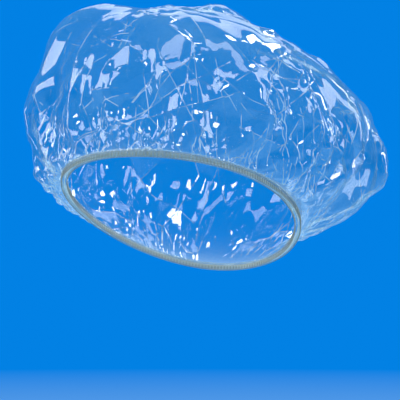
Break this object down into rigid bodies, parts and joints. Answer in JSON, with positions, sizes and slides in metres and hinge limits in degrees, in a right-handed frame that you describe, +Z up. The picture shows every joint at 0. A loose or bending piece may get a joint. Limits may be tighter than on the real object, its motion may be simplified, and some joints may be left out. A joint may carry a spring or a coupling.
{
  "type": "shower cap",
  "caption": "Clear disposable shower cap as worn: a puffed, crumpled film crown gathered into an elastic hem sewn with overlock stitching.",
  "frame": {"origin": "centre of the head opening, on the line of the hem's foot", "axes": "+Z up as worn, -Y towards the face side, +X towards the wearer's left"},
  "size_m": [0.2327, 0.2579, 0.1784],
  "materials": {
    "film": "clear thin polyethylene film, glossy and creased",
    "elastic": "pale grey braided elastic",
    "thread": "olive grey spun polyester thread"
  },
  "bodies": {
    "band": {"film_hem": "film", "elastic_band": "elastic", "needle_thread": "thread", "upper_looper_thread": "thread", "lower_looper_thread": "thread"},
    "crown": {"film_crown": "film"}
  },
  "joints": [
    {"name": "crown_collapse", "type": "slide", "parent": "band", "child": "crown", "axis": [0, -0.3746, -0.9272], "range_m": [0, 0.06], "deforming": ["film_crown"]}
  ]
}
